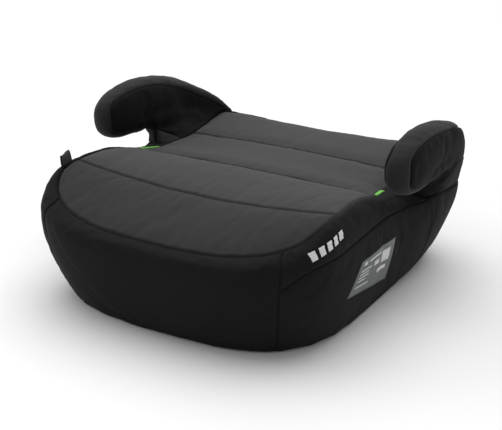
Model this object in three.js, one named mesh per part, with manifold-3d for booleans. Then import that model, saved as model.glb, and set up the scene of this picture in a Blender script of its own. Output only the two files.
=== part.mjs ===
// Backless car booster seat: a foam core on a moulded base tray, two armrest horns and a sewn fabric cover.
// Millimetres, +Z up, -Y is the front of the seat; the origin is under its middle, on the supporting surface.
import * as THREE from 'three';
import { mergeVertices } from 'three/addons/utils/BufferGeometryUtils.js';
import Module from 'manifold-3d';

const wasm = await Module();
wasm.setup();

// ---------------------------------------------------------------- driving dimensions
const FRONT = -213;              // foremost point of the seat
const BACK = 212;                // rearmost point
const COVER = 3;                 // thickness of the padded cover fabric
const GAP = 0.4;                 // clearance between neighbouring pieces
const FOAM = 14;                 // thickness of the seat foam
const ARM_FOAM = 7;              // thickness of the armrest foam
const ARM_X = 197;               // middle plane of an armrest horn
const ARM_HALF = 21.5;            // half its thickness
const CREST_HEIGHT = 201;        // top of an armrest
const HORN_TIP_Y = -26;          // foremost point of a horn
const CROOK_Y = 58;              // front of the armrest root, behind the belt gap
const FAR = 300;                 // beyond every face of the seat
const BELOW = -50;               // below every face of the seat
const HEM_Z = 2;                 // lowest point of the cover
const TRAY_Z = 3.5;              // underside of the tray
const TRAY_TOP = 12.4;           // the core stands on the tray at this height
const BULGE_Z = 103;             // height at which the cushion is widest
const SEAM_HALF = 17;            // armrest seams run this far either side of the middle plane
const LIP_SEAM_Y = -103;         // seams across the seat, front to back
const MIDDLE_SEAM_Y = 3;
const REAR_SEAM_Y = 108;
const CORNER_SEAM_X = 154;       // upright seams at the front and rear corners
const SIDE_SEAM_Z = 101;         // level seam along each side

// ---------------------------------------------------------------- colours
const fabric = () => new THREE.MeshStandardMaterial({ color: 0x2b2b2d, roughness: 0.95, metalness: 0 });
const fabricDark = () => new THREE.MeshStandardMaterial({ color: 0x1f1f21, roughness: 0.95, metalness: 0 });
const foamGrey = () => new THREE.MeshStandardMaterial({ color: 0x5c5c5e, roughness: 1, metalness: 0 });
const plasticBlack = () => new THREE.MeshStandardMaterial({ color: 0x161616, roughness: 0.5, metalness: 0 });
const rubber = () => new THREE.MeshStandardMaterial({ color: 0x101010, roughness: 0.9, metalness: 0 });
const green = () => new THREE.MeshStandardMaterial({ color: 0x5fae3a, roughness: 0.4, metalness: 0 });
const steel = () => new THREE.MeshStandardMaterial({ color: 0x9a9a9a, roughness: 0.35, metalness: 1 });
const labelGrey = () => new THREE.MeshStandardMaterial({ color: 0x6e7270, roughness: 0.6, metalness: 0 });

// ---------------------------------------------------------------- numbers and curves
const clamp = (v, lo, hi) => Math.min(hi, Math.max(lo, v));
const lerp = (a, b, t) => a + (b - a) * t;

// A smooth curve through [[at, value], ...], flat beyond its ends.
function curve(points) {
  const slope = points.map((p, i) => {
    const before = points[Math.max(0, i - 1)];
    const after = points[Math.min(points.length - 1, i + 1)];
    return (after[1] - before[1]) / (after[0] - before[0]);
  });
  return (at) => {
    const x = clamp(at, points[0][0], points[points.length - 1][0]);
    let i = 0;
    while (i < points.length - 2 && x > points[i + 1][0]) i += 1;
    const [x0, y0] = points[i];
    const [x1, y1] = points[i + 1];
    const h = x1 - x0;
    const t = (x - x0) / h;
    const a = 2 * t ** 3 - 3 * t ** 2 + 1;
    const b = t ** 3 - 2 * t ** 2 + t;
    const c = -2 * t ** 3 + 3 * t ** 2;
    const d = t ** 3 - t ** 2;
    return a * y0 + b * h * slope[i] + c * y1 + d * h * slope[i + 1];
  };
}

// Height of the seat's top surface along its middle, and how much higher it is 170 mm to either side.
const seatMiddle = curve([[-200, 109], [-165, 121], [-135, 128], [-103, 132.5], [-50, 135], [0, 132],
  [50, 128], [108, 126], [160, 125.5], [206, 125]]);
const seatRise = curve([[-200, 0], [-165, 5], [-135, 13], [-103, 12.5], [-60, 9], [-20, 2.5], [5, -4],
  [40, -8], [100, -6], [160, 2], [206, 8]]);
const seatHeight = (x, y) => seatMiddle(y) + seatRise(y) * (x / 170) ** 2;

// ---------------------------------------------------------------- solids
function solidOf(geometry) {
  const bare = geometry.clone();
  bare.deleteAttribute('normal');
  bare.deleteAttribute('uv');
  const merged = mergeVertices(bare, 1e-4);
  const made = new wasm.Manifold(new wasm.Mesh({
    numProp: 3,
    vertProperties: new Float32Array(merged.attributes.position.array),
    triVerts: new Uint32Array(merged.index.array),
  }));
  if (made.volume() < 0) throw new Error('a solid is inside out');
  return made;
}

function geometryOf(solid) {
  const { vertProperties, triVerts } = solid.getMesh();
  const geometry = new THREE.BufferGeometry();
  geometry.setAttribute('position', new THREE.BufferAttribute(vertProperties, 3));
  geometry.setIndex(new THREE.BufferAttribute(triVerts, 1));
  geometry.computeVertexNormals();
  return geometry;
}

const boxSolid = (x0, x1, y0, y1, z0, z1) => {
  const box = new THREE.BoxGeometry(x1 - x0, y1 - y0, z1 - z0);
  box.translate((x0 + x1) / 2, (y0 + y1) / 2, (z0 + z1) / 2);
  return solidOf(box);
};

const slabY = (y0, y1) => boxSolid(-FAR, FAR, y0, y1, -FAR, FAR);
const slabZ = (z0, z1) => boxSolid(-FAR, FAR, -FAR, FAR, z0, z1);

const cylinderSolid = (x, y, z0, z1, radius, sides = 20) => {
  const cylinder = new THREE.CylinderGeometry(radius, radius, z1 - z0, sides);
  cylinder.rotateX(Math.PI / 2);
  cylinder.translate(x, y, (z0 + z1) / 2);
  return solidOf(cylinder);
};

// A prism standing on the plan outline [[x, y], ...], listed anticlockwise.
function planPrism(outline, z0, z1) {
  const shape = new THREE.Shape(outline.map(([x, y]) => new THREE.Vector2(x, y)));
  const prism = new THREE.ExtrudeGeometry(shape, { depth: z1 - z0, bevelEnabled: false });
  prism.translate(0, 0, z0);
  return solidOf(prism);
}

// A prism across the seat from x0 to x1 with the side outline [[y, z], ...], listed anticlockwise.
function sidePrism(outline, x0, x1) {
  const shape = new THREE.Shape(outline.map(([y, z]) => new THREE.Vector2(y, z)));
  const prism = new THREE.ExtrudeGeometry(shape, { depth: x1 - x0, bevelEnabled: false });
  prism.applyMatrix4(new THREE.Matrix4().set(0, 0, 1, x0, 1, 0, 0, 0, 0, 1, 0, 0, 0, 0, 0, 1));
  return solidOf(prism);
}

// A closed skin through rings of equal length, split alike on the left and right halves; each end is closed
// on the point given for it.
function ringStack(rings, startPoint, endPoint) {
  const count = rings[0].length;
  const points = [startPoint, ...rings.flat(), endPoint];
  const last = points.length - 1;
  const at = (ring, i) => 1 + ring * count + (i % count);
  const faces = [];
  for (let i = 0; i < count; i += 1) {
    faces.push(0, at(0, i + 1), at(0, i));
    faces.push(last, at(rings.length - 1, i), at(rings.length - 1, i + 1));
    for (let ring = 0; ring < rings.length - 1; ring += 1) {
      if (i < count / 2) {
        faces.push(at(ring, i), at(ring, i + 1), at(ring + 1, i + 1));
        faces.push(at(ring, i), at(ring + 1, i + 1), at(ring + 1, i));
      } else {
        faces.push(at(ring, i), at(ring, i + 1), at(ring + 1, i));
        faces.push(at(ring, i + 1), at(ring + 1, i + 1), at(ring + 1, i));
      }
    }
  }
  const geometry = new THREE.BufferGeometry();
  geometry.setAttribute('position', new THREE.Float32BufferAttribute(points.flat(), 3));
  geometry.setIndex(faces);
  return geometry;
}

// A loft through sections of equal length along Y, with flat triangulated ends.
function sectionLoft(listed) {
  const flat = (section) => section.map(([x, , z]) => new THREE.Vector2(x, z));
  const clockwise = THREE.ShapeUtils.area(flat(listed[0])) < 0;
  const sections = clockwise ? listed.map((section) => [...section].reverse()) : listed;
  const count = sections[0].length;
  const points = sections.flat();
  const faces = [];
  for (let s = 0; s < sections.length - 1; s += 1) {
    for (let i = 0; i < count; i += 1) {
      const a = s * count + i;
      const b = s * count + ((i + 1) % count);
      faces.push(a, b, b + count, a, b + count, a + count);
    }
  }
  const first = THREE.ShapeUtils.triangulateShape(flat(sections[0]), []);
  const base = (sections.length - 1) * count;
  const end = THREE.ShapeUtils.triangulateShape(flat(sections[sections.length - 1]), []);
  for (const [a, b, c] of first) faces.push(a, c, b);
  for (const [a, b, c] of end) faces.push(base + a, base + b, base + c);
  const geometry = new THREE.BufferGeometry();
  geometry.setAttribute('position', new THREE.Float32BufferAttribute(points.flat(), 3));
  geometry.setIndex(faces);
  const volume = signedVolume(geometry);
  if (volume < 0) geometry.setIndex(faces.map((_, i) => faces[i - (i % 3) + [0, 2, 1][i % 3]]));
  return geometry;
}

function signedVolume(geometry) {
  const p = geometry.attributes.position;
  const index = geometry.index.array;
  const corner = (i) => new THREE.Vector3().fromBufferAttribute(p, index[i]);
  let sum = 0;
  for (let i = 0; i < index.length; i += 3) sum += corner(i).dot(corner(i + 1).cross(corner(i + 2)));
  return sum / 6;
}

// ---------------------------------------------------------------- the cushion body
// A plan outline: a superellipse nose, sides that follow a width curve, and a superellipse back.
const LEVELS = {
  base: { front: -191, noseFrom: -33, nose: 3.1, back: 192, tailFrom: 60, tail: 4.8, half: () => 173 },
  bulge: { front: FRONT, noseFrom: -95, nose: 3.2, back: BACK, tailFrom: 95, tail: 5,
    half: curve([[-95, 189], [0, 192], [95, 206]]) },
  top: { front: -200, noseFrom: -110, nose: 2.6, back: 206, tailFrom: 100, tail: 8,
    half: curve([[-110, 173], [-60, 171], [-20, 168], [5, 164], [40, 158], [100, 160]]) },
};
const NOSE_POINTS = 6;
const SIDE_POINTS = 4;

const halfWidthAt = (level, y, inset) => level.half(y) - inset;

// Right half of an outline from the front middle to the back middle.
function halfOutline(level, inset) {
  const points = [];
  for (let i = 0; i <= NOSE_POINTS; i += 1) {
    const angle = (i / NOSE_POINTS) * Math.PI / 2;
    const depth = level.noseFrom - (level.front + inset);
    points.push([halfWidthAt(level, level.noseFrom, inset) * Math.sin(angle) ** (2 / level.nose),
      level.noseFrom - depth * Math.cos(angle) ** (2 / level.nose)]);
  }
  for (let i = 1; i <= SIDE_POINTS; i += 1) {
    const y = lerp(level.noseFrom, level.tailFrom, i / SIDE_POINTS);
    points.push([halfWidthAt(level, y, inset), y]);
  }
  for (let i = 1; i <= NOSE_POINTS; i += 1) {
    const angle = (i / NOSE_POINTS) * Math.PI / 2;
    const depth = level.back - inset - level.tailFrom;
    points.push([halfWidthAt(level, level.tailFrom, inset) * Math.cos(angle) ** (2 / level.tail),
      level.tailFrom + depth * Math.sin(angle) ** (2 / level.tail)]);
  }
  points[0][0] = 0;
  points[points.length - 1][0] = 0;
  return points;
}

// The whole outline, anticlockwise seen from above.
function outlineOf(level, inset) {
  const right = halfOutline(level, inset);
  const left = right.slice(1, -1).reverse().map(([x, y]) => [-x, y]);
  return [...right, ...left];
}

const SHOULDER_STEPS = [1, 0.66, 0.33];
const SKIRT_STEPS = [0.3, 0.65];
const TOP_SHRINK = [0.85, 0.55, 0.25];
const skirtPower = curve([[50, 1.8], [150, 1.4]]);
const shoulderPower = curve([[0, 1], [35, 0.65], [70, 0.65], [105, 1]]);

// The cushion's skin, moved inwards by inset, standing on the height floor.
function cushion(inset, floor) {
  const base = outlineOf(LEVELS.base, inset);
  const bulge = outlineOf(LEVELS.bulge, inset);
  const top = outlineOf(LEVELS.top, inset);
  const topHeight = ([x, y]) => seatHeight(x, y) - inset;
  const rings = [base.map(([x, y]) => [x, y, floor])];
  for (const t of [...SKIRT_STEPS].reverse()) {
    rings.push(bulge.map(([x, y], i) => {
      const inwards = t ** skirtPower(y);
      return [lerp(x, base[i][0], inwards), lerp(y, base[i][1], inwards), lerp(BULGE_Z, floor, t)];
    }));
  }
  for (const t of SHOULDER_STEPS) {
    const out = Math.sin(t * Math.PI / 2);
    const down = 1 - Math.cos(t * Math.PI / 2);
    rings.push(top.map(([x, y], i) => [lerp(x, bulge[i][0], out), lerp(y, bulge[i][1], out),
      lerp(topHeight([x, y]), BULGE_Z, down ** shoulderPower(y))]));
  }
  rings.push(top.map(([x, y]) => [x, y, topHeight([x, y])]));
  for (const share of TOP_SHRINK) {
    rings.push(top.map(([x, y]) => [x * share, y * share, topHeight([x * share, y * share])]));
  }
  return solidOf(ringStack(rings, [0, 0, floor], [0, 0, topHeight([0, 0])]));
}

// ---------------------------------------------------------------- the armrests
// The right one is modelled; the left one is its mirror image.
const crestX = curve([[HORN_TIP_Y, ARM_X], [100, ARM_X], [125, 196], [145, 191], [165, 184], [180, 176],
  [192, 165], [201, 154], [206, 145]]);
const crestZ = curve([[HORN_TIP_Y, 170], [-21, 182], [-12, 189], [0, 195], [28, CREST_HEIGHT - 0.5],
  [55, CREST_HEIGHT], [80, 198.5], [107, 193], [127, 187], [146, 178], [163, 169], [180, 158], [193, 146],
  [206, 127]]);
const hornUnder = curve([[HORN_TIP_Y, 165], [-21, 149], [-12, 140], [5, 135], [30, 133.5], [55, 132.5],
  [90, 133.5], [112, 141], [130, 152]]);
const hornHalf = curve([[HORN_TIP_Y, 4], [-22, 12], [-14, 17.5], [-2, 20], [15, ARM_HALF], [90, ARM_HALF],
  [112, 19.5], [130, 15]]);
const innerFootX = curve([[CROOK_Y, 158], [66, 150], [83, 144], [102, 139], [131, 139], [170, 146],
  [190, 148], [206, 142]]);

// In front of NECK_END the root is a slim neck hidden under the horn; tuck draws its outer flank in there,
// and flankPower says how squarely the flank stands before it turns in.
const NECK_END = 100;
const rootMiddle = curve([[CROOK_Y, 174], [70, 181.5], [82, 189], [93, ARM_X - 1], [NECK_END, ARM_X]]);
const rootHalf = curve([[CROOK_Y, 2], [70, 6.5], [82, 14], [93, 19.5], [NECK_END, ARM_HALF]]);
const rootTop = curve([[CROOK_Y, 148], [70, 165], [82, 180], [93, 190], [NECK_END, 194]]);
const tuck = curve([[CROOK_Y, 4], [75, 11], [92, 10], [106, 4], [120, 0]]);
const flankPower = curve([[NECK_END, 2.2], [115, 2], [150, 1.4]]);

const HORN_SECTIONS = [HORN_TIP_Y, -23, -16, -4, 20, 60, 90, 112, 130];
const HORN_AROUND = 12;
const HORN_HALF_HEIGHT = 33;
const SQUARISH = 0.7;            // power that makes an arc nearly square

function horn(inset) {
  const shareX = 1 - inset / ARM_HALF;
  const shareZ = 1 - inset / HORN_HALF_HEIGHT;
  const sections = HORN_SECTIONS.map((y) => {
    const middle = (crestZ(y) + hornUnder(y)) / 2;
    const half = hornHalf(y) * shareX;
    const halfHeight = ((crestZ(y) - hornUnder(y)) / 2) * shareZ;
    return Array.from({ length: HORN_AROUND }, (_, i) => {
      const angle = ((i + 0.5) / HORN_AROUND) * 2 * Math.PI;
      const c = Math.cos(angle);
      const s = Math.sin(angle);
      return [crestX(y) + half * Math.sign(c) * Math.abs(c) ** SQUARISH, y,
        middle + halfHeight * Math.sign(s) * Math.abs(s) ** SQUARISH];
    });
  });
  return solidOf(sectionLoft(sections)).intersect(slabY(HORN_TIP_Y + inset, FAR));
}

const ROOT_SECTIONS = [CROOK_Y, 69, 82, 97, 116, 136, 155, 171, 184, 195, 205];
const ROOT_BOTTOM = 78;
const COVE_STEPS = 3;
const CREST_STEPS = 5;
const FLANK_STEPS = [0.4, 0.7, 1];

// Half width of the cushion at its widest height, at y.
function bodyHalfAt(y) {
  const level = LEVELS.bulge;
  if (y <= level.tailFrom) return level.half(y);
  const t = clamp((y - level.tailFrom) / (level.back - level.tailFrom), 0, 0.999);
  return level.half(level.tailFrom) * (1 - t ** level.tail) ** (1 / level.tail);
}

// One section of the root: a cove rising from the seat, a rounded crest and the outer flank.
function rootSection(y) {
  const neck = y < NECK_END;
  const foot = seatHeight(innerFootX(y), y) - 3;
  const top = neck ? rootTop(y) : crestZ(y);
  const radius = Math.min(20, 0.45 * Math.max(top - foot, 2));
  const half = neck ? rootHalf(y) : Math.min(ARM_HALF, 7 + 0.4 * (top - foot));
  const middle = neck ? rootMiddle(y) : Math.min(crestX(y), bodyHalfAt(y) + 16 - half);
  const inner = Math.min(innerFootX(y), middle - half - 0.5);
  const outerFoot = Math.min(bodyHalfAt(y) - 1.5, neck ? middle + half : FAR);
  const side = middle - half;
  const cove = new THREE.CubicBezierCurve(
    new THREE.Vector2(inner, foot),
    new THREE.Vector2(lerp(inner, side, 0.55), foot + 1),
    new THREE.Vector2(side, lerp(foot, top - radius, 0.3)),
    new THREE.Vector2(side, top - radius),
  );
  const section = cove.getPoints(COVE_STEPS).map((p) => [p.x, p.y]);
  for (let i = 1; i <= CREST_STEPS; i += 1) {
    const angle = Math.PI * (1 - i / CREST_STEPS);
    const c = Math.cos(angle);
    section.push([middle + half * Math.sign(c) * Math.abs(c) ** SQUARISH,
      top - radius + radius * Math.sin(angle) ** SQUARISH]);
  }
  for (const t of FLANK_STEPS) {
    section.push([lerp(middle + half, outerFoot, t ** flankPower(y)) - tuck(y) * Math.sin(t ** 2 * Math.PI),
      lerp(top - radius, BULGE_Z, t)]);
  }
  section.push([Math.max(outerFoot - 4, inner + 2), ROOT_BOTTOM]);
  section.push([inner, ROOT_BOTTOM]);
  return section;
}

// A section drawn in by inset towards the middle of its thickest part.
function drawnIn(section, inset) {
  const xs = section.map(([x]) => x);
  const zs = section.map(([, z]) => z);
  const centre = [lerp(Math.min(...xs), Math.max(...xs), 0.6), lerp(ROOT_BOTTOM, Math.max(...zs), 0.35)];
  const spanX = (Math.max(...xs) - Math.min(...xs)) / 2;
  const spanZ = (Math.max(...zs) - ROOT_BOTTOM) / 2;
  const shareX = Math.max(1 - inset / spanX, 0.2);
  const shareZ = Math.max(1 - inset / spanZ, 0.2);
  return section.map(([x, z]) => [lerp(centre[0], x, shareX), lerp(centre[1], z, shareZ)]);
}

function root(inset) {
  const last = ROOT_SECTIONS[ROOT_SECTIONS.length - 1];
  const sectionAt = (y) => drawnIn(rootSection(y), inset).map(([x, z]) => [x, y, z]);
  return solidOf(sectionLoft(ROOT_SECTIONS.map(sectionAt)))
    .intersect(boxSolid(0, FAR, CROOK_Y + inset, last - 1.5 * inset, 0, FAR));
}

// Horn and root together; below the cushion's widest height the root stays inside the cushion.
const armrest = (inset) => horn(inset).add(root(inset))
  .subtract(boxSolid(0, FAR, -FAR, FAR, 0, BULGE_Z - 2).subtract(cushion(Math.max(inset, 0) + COVER + 2, 0)));
const mirrored = (solid) => solid.mirror([1, 0, 0]);

// ---------------------------------------------------------------- the pieces
const LINING = COVER + GAP;      // what lies under the cover starts this far in
const TRAY_INSET = 4.4;
const FOAM_INSET = 6;            // the seat foam stays this far inside the top seam
const SHOULDER_Z = 80;           // cuts along the top seam reach down to here
const FOAM_Z = 60;               // cuts around the seat foam reach down to here
const LEG = { x0: 134, x1: 166, y0: 98, y1: 144, z1: 102 };
const SCREW_AT = [[144, 107], [144, 133]];
const SCREW_HOLE = 2.6;
const FOOT_AT = [[125, -125], [125, 135]];
const GUIDE = { front: 9, back: 34, reach: 4, proud: 1.2 };

const both = (solid) => solid.add(mirrored(solid));
const largest = (solid) => solid.decompose().sort((a, b) => b.volume() - a.volume())[0];

const seatOuter = cushion(0, TRAY_Z);
const arms = both(armrest(0));
const armsGrown = both(armrest(-GAP).add(armrest(COVER)));

// Cover of the cushion: a skin with an open underside, cut away under the armrests.
const guideOutline = (spread) => {
  const edge = (y, side) => [LEVELS.top.half(y) + side * (GUIDE.reach + spread), y];
  return [edge(GUIDE.front - spread, -1), edge(GUIDE.front - spread, 1), edge(GUIDE.back + spread, 1),
    edge(GUIDE.back + spread, -1)];
};
const guideCut = both(planPrism(guideOutline(GAP), SHOULDER_Z, FAR));
const skin = seatOuter.subtract(cushion(COVER, HEM_Z - 3)).subtract(armsGrown).subtract(guideCut);
const CUT = GAP / 2;             // each panel ends this far from its seam
const insideTop = planPrism(outlineOf(LEVELS.top, CUT), SHOULDER_Z, FAR);
const aroundTop = planPrism(outlineOf(LEVELS.top, -CUT), SHOULDER_Z, FAR);
const topSkin = skin.intersect(insideTop);
const sideSkin = skin.subtract(aroundTop);

const topPanels = [
  ['cover_front_lip', -FAR, LIP_SEAM_Y],
  ['cover_front_band', LIP_SEAM_Y, MIDDLE_SEAM_Y],
  ['cover_middle_band', MIDDLE_SEAM_Y, REAR_SEAM_Y],
  ['cover_rear_band', REAR_SEAM_Y, FAR],
];

const frontBlock = boxSolid(-CORNER_SEAM_X + CUT, CORNER_SEAM_X - CUT, -FAR, 0, BELOW, FAR);
const rearBlock = boxSolid(-CORNER_SEAM_X + CUT, CORNER_SEAM_X - CUT, 0, FAR, BELOW, FAR);
const rightBlock = boxSolid(CORNER_SEAM_X + CUT, FAR, -FAR, FAR, BELOW, FAR);

// Covers of an armrest: an inner and an outer face, and between them a strip over crest, nose and underside.
const seatGrown = cushion(-GAP, 0);
const armSkin = armrest(0).subtract(armrest(COVER)).subtract(seatGrown);
const STATIONS = [-60, 60, 100, 125, 145, 165, 180, 192, 201, 215];
const FIRST = STATIONS[0];
const LAST = STATIONS[STATIONS.length - 1];
const WITHIN = 60;               // between the middle of the seat and the armrest
const followCrest = (offset) => STATIONS.map((y) => [crestX(y) + offset, y]);
const beyondCrest = (offset) => planPrism([[FAR, FIRST], [FAR, LAST], ...followCrest(offset).reverse()],
  0, FAR);
const withinCrest = (offset) => planPrism([...followCrest(offset), [WITHIN, LAST], [WITHIN, FIRST]],
  0, FAR);
// The outer face, with the root's flank below the line on which it meets the crest strip.
const FLANK = { front: 92, bottom: 40, back: 230, line: [[230, 100], [180, 134], [127, 165], [92, 175]] };
function outerZone(grow) {
  const line = FLANK.line.map(([y, z]) => [y === FLANK.front ? y - grow : y,
    y === FLANK.back ? z : z + grow]);
  const corners = [[FLANK.front - grow, FLANK.bottom], [FLANK.back, FLANK.bottom]];
  const flank = sidePrism([...corners, ...line], WITHIN, FAR);
  return beyondCrest(SEAM_HALF - grow).add(flank.intersect(beyondCrest(-grow)));
}
const innerZone = (grow) => withinCrest(-SEAM_HALF + grow);
const armPanels = {
  inner: largest(armSkin.intersect(innerZone(-CUT)).subtract(outerZone(CUT))),
  gusset: largest(armSkin.subtract(innerZone(CUT)).subtract(outerZone(CUT))),
  outer: largest(armSkin.intersect(outerZone(-CUT)).subtract(innerZone(CUT))),
};

// Armrest frame: a stiff horn with a root in the core and a leg that is screwed to the tray.
const frameInset = LINING + ARM_FOAM + 3 * GAP;
const FRAME_ROOT_Y = 90;         // the frame's root starts behind the neck, which is foam only
const FRAME_REACH = { x: 186, z: 134 };  // below the horn the frame stays within this distance
function armFrame() {
  const leg = boxSolid(LEG.x0, LEG.x1, LEG.y0, LEG.y1, TRAY_TOP + GAP, LEG.z1);
  const outside = boxSolid(FRAME_REACH.x, FAR, -FAR, FAR, 0, FRAME_REACH.z);
  const solid = horn(frameInset).add(root(frameInset).intersect(slabY(FRAME_ROOT_Y, FAR)))
    .intersect(armrest(LINING + ARM_FOAM)).subtract(outside).add(leg);
  return SCREW_AT.reduce((rest, [x, y]) => rest.subtract(cylinderSolid(x, y, 0, 34, SCREW_HOLE, 10)), solid);
}
const legPocket = boxSolid(LEG.x0 - GAP, LEG.x1 + GAP, LEG.y0 - GAP, LEG.y1 + GAP, 0, LEG.z1 + GAP);
const armFoam = largest(armrest(LINING).intersect(armrest(COVER)).subtract(armrest(LINING + ARM_FOAM))
  .subtract(legPocket));

// Foam core and seat foam.
const lined = cushion(LINING, HEM_Z);
const sunk = (depth) => lined.translate([0, 0, -depth]);
const armPocket = both(armrest(COVER));
const seatFoam = lined.subtract(sunk(FOAM)).subtract(armPocket)
  .intersect(planPrism(outlineOf(LEVELS.top, FOAM_INSET), FOAM_Z, FAR));
const foamPocket = cushion(0, HEM_Z).subtract(sunk(FOAM + GAP))
  .intersect(planPrism(outlineOf(LEVELS.top, FOAM_INSET - GAP), FOAM_Z, FAR));
const core = largest(lined.subtract(slabZ(BELOW, TRAY_TOP + GAP)).subtract(foamPocket).subtract(armPocket)
  .subtract(both(legPocket)));

// Base tray: a plate with a raised rim, ribs underneath and holes for the screws and feet.
const TRAY_PLATE = 4;            // thickness of the plate
const RIM = 14;                  // width of the rim
const RIB_HALF = 1.5;            // half the thickness of a rib
const BOSS = 9;                  // radius of the bosses for screws and feet
const FOOT_HOLE = 4.4;
function tray() {
  const plate = planPrism(outlineOf(LEVELS.base, TRAY_INSET), TRAY_TOP - TRAY_PLATE, TRAY_TOP);
  const rim = planPrism(outlineOf(LEVELS.base, TRAY_INSET), TRAY_Z, TRAY_TOP)
    .subtract(planPrism(outlineOf(LEVELS.base, TRAY_INSET + RIM), 0, TRAY_TOP - TRAY_PLATE));
  let solid = plate.add(rim);
  for (const x of [-90, 0, 90]) {
    solid = solid.add(boxSolid(x - RIB_HALF, x + RIB_HALF, -172, 174, TRAY_Z, TRAY_TOP - 1));
  }
  for (const y of [-60, 60]) {
    solid = solid.add(boxSolid(-156, 156, y - RIB_HALF, y + RIB_HALF, TRAY_Z, TRAY_TOP - 1));
  }
  for (const [x, y] of [...FOOT_AT, ...SCREW_AT]) {
    solid = solid.add(both(cylinderSolid(x, y, TRAY_Z, TRAY_TOP - 1, BOSS, 14)));
  }
  for (const [x, y] of SCREW_AT) {
    solid = solid.subtract(both(cylinderSolid(x, y, 0, 20, SCREW_HOLE, 10)));
    solid = solid.subtract(both(cylinderSolid(x, y, 0, TRAY_Z + 3.4, 5.4, 12)));
  }
  for (const [x, y] of FOOT_AT) solid = solid.subtract(both(cylinderSolid(x, y, 0, 9, FOOT_HOLE, 12)));
  return solid;
}

const foot = (x, y) => cylinderSolid(x, y, 0, TRAY_Z - GAP, 11, 20)
  .add(cylinderSolid(x, y, 1, 8.5, 4, 12));
const screw = (x, y) => cylinderSolid(x, y, TRAY_Z + 0.4, TRAY_Z + 3, 5, 12)
  .add(cylinderSolid(x, y, TRAY_Z + 1, 33, 2.2, 10));

// Hem: the cover's edge turned under the tray.
const hem = planPrism(outlineOf(LEVELS.base, 0.6), HEM_Z, TRAY_Z - GAP)
  .subtract(planPrism(outlineOf(LEVELS.base, 13), 0, TRAY_Z));

// Belt guide: a green strip set in the top seam under each horn.
const guide = largest(cushion(-GUIDE.proud, 0).subtract(cushion(COVER, 0))
  .intersect(planPrism(guideOutline(0), SHOULDER_Z, FAR)).subtract(armsGrown));

// Folded loop at the left front of the top seam.
const TAB = { x: -173.9, halfThick: 1.6, y: -121, halfWide: 8, z0: 138, z1: 157 };
const loopTab = boxSolid(TAB.x - TAB.halfThick, TAB.x + TAB.halfThick,
  TAB.y - TAB.halfWide, TAB.y + TAB.halfWide, TAB.z0, TAB.z1).subtract(seatGrown);

// Sewn-on care label on the right side.
const LABEL = { y0: -104, y1: -4, z0: 40, z1: 86, off: 0.3, thick: 0.5 };
const careLabel = cushion(-LABEL.off - LABEL.thick, 0).subtract(cushion(-LABEL.off, 0))
  .intersect(boxSolid(100, FAR, LABEL.y0, LABEL.y1, LABEL.z0, LABEL.z1));

// ---------------------------------------------------------------- assembly
const group = new THREE.Group();
function place(name, solid, material) {
  const mesh = new THREE.Mesh(geometryOf(solid), material);
  mesh.name = name;
  group.add(mesh);
}
function placePair(name, solid, material) {
  place(`${name}_right`, solid, material);
  place(`${name}_left`, mirrored(solid), material);
}

place('base_tray', tray(), plasticBlack());
place('core_block', core, foamGrey());
place('seat_foam', seatFoam, foamGrey());
placePair('armrest_frame', armFrame(), plasticBlack());
placePair('armrest_foam', armFoam, foamGrey());
for (const [name, from, to] of topPanels) {
  place(name, largest(topSkin.intersect(slabY(from + CUT, to - CUT))), fabric());
}
place('cover_front_boxing', largest(sideSkin.intersect(frontBlock)), fabricDark());
place('cover_rear_boxing', largest(sideSkin.intersect(rearBlock)), fabricDark());
const rightSkin = sideSkin.intersect(rightBlock);
placePair('cover_side_upper', largest(rightSkin.intersect(slabZ(SIDE_SEAM_Z + CUT, FAR))), fabricDark());
placePair('cover_side_lower', largest(rightSkin.intersect(slabZ(BELOW, SIDE_SEAM_Z - CUT))), fabricDark());
placePair('armrest_cover_inner', armPanels.inner, fabricDark());
placePair('armrest_cover_gusset', armPanels.gusset, fabric());
placePair('armrest_cover_outer', armPanels.outer, fabricDark());
placePair('belt_guide', guide, green());
place('hem_band', hem, fabricDark());
place('loop_tab', loopTab, fabricDark());
place('care_label', careLabel, labelGrey());
['front', 'rear'].forEach((end, i) => placePair(`rubber_foot_${end}`, foot(...FOOT_AT[i]), rubber()));
['front', 'rear'].forEach((end, i) => placePair(`frame_screw_${end}`, screw(...SCREW_AT[i]), steel()));

export default group;
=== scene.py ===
"""Backless car booster seat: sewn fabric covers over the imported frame, with guides, label and studio."""
import math
import bpy
import bmesh
import numpy as np
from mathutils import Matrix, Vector, noise
from mathutils.bvhtree import BVHTree
from mathutils.kdtree import KDTree


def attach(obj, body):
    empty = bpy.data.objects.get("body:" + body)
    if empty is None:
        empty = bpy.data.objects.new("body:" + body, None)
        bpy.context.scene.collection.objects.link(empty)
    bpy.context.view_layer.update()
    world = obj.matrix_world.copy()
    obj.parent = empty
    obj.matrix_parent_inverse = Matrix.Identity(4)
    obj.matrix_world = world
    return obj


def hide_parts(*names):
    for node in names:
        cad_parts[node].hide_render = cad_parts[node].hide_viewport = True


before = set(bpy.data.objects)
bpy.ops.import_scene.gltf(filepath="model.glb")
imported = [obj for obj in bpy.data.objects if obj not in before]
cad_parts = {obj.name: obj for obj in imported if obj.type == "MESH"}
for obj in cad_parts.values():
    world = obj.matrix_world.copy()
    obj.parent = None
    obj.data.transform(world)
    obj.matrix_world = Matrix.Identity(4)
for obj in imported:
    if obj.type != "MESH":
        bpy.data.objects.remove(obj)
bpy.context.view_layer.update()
MM = 0.001

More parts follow.
